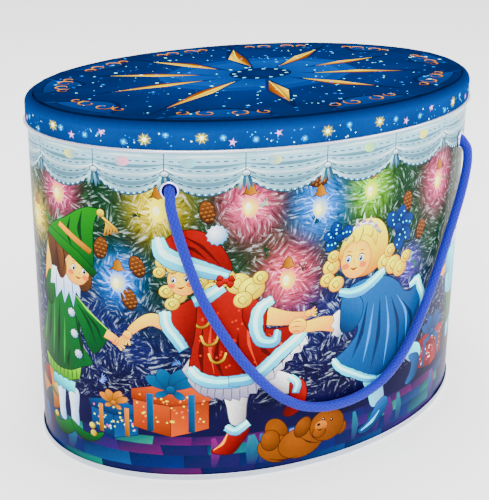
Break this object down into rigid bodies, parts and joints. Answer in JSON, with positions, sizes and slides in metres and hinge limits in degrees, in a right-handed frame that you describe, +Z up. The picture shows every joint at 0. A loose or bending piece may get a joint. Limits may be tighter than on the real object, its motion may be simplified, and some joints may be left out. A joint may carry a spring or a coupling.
{
  "type": "oval tin with lift-off lid and cord handle",
  "caption": "Oval printed storage tin with a lift-off stepped lid and a hanging cord handle threaded through eyelets on its front.",
  "frame": {"origin": "middle of the foot rim, on the surface that the tin stands on", "axes": "+X along the tin's long side, -Y towards its front, where the cord handle hangs, +Z up"},
  "size_m": [0.2402, 0.1723, 0.174],
  "materials": {
    "printed_tinplate": "glossy printed lacquer over tinplate",
    "blue_tinplate": "glossy blue printed lacquer over tinplate",
    "bare_tinplate": "bright tinplate, lightly lacquered",
    "eyelet_chrome": "polished plating",
    "blue_braid": "braided synthetic cord with a soft sheen"
  },
  "bodies": {
    "root": {"body_shell": "printed_tinplate", "base_end": "bare_tinplate", "eyelet_front_left": "eyelet_chrome", "eyelet_front_right": "eyelet_chrome", "eyelet_back_left": "eyelet_chrome", "eyelet_back_right": "eyelet_chrome", "eyelet_collar_front_left": "eyelet_chrome", "eyelet_collar_front_right": "eyelet_chrome", "eyelet_collar_back_left": "eyelet_chrome", "eyelet_collar_back_right": "eyelet_chrome", "cord_tail_left": "blue_braid", "cord_tail_right": "blue_braid", "cord_knot_left": "blue_braid", "cord_knot_right": "blue_braid"},
    "lid": {"lid": "blue_tinplate"},
    "handle": {"cord_handle": "blue_braid"}
  },
  "joints": [
    {"name": "lid_lift", "type": "slide", "parent": "root", "child": "lid", "axis": [0, 0, 1], "range_m": [0, 0.08]},
    {"name": "handle_swing", "type": "hinge", "parent": "root", "child": "handle", "pos_m": [0, -0.0627, 0.1417], "axis": [-1, 0, 0], "range_deg": [0, 145]}
  ]
}
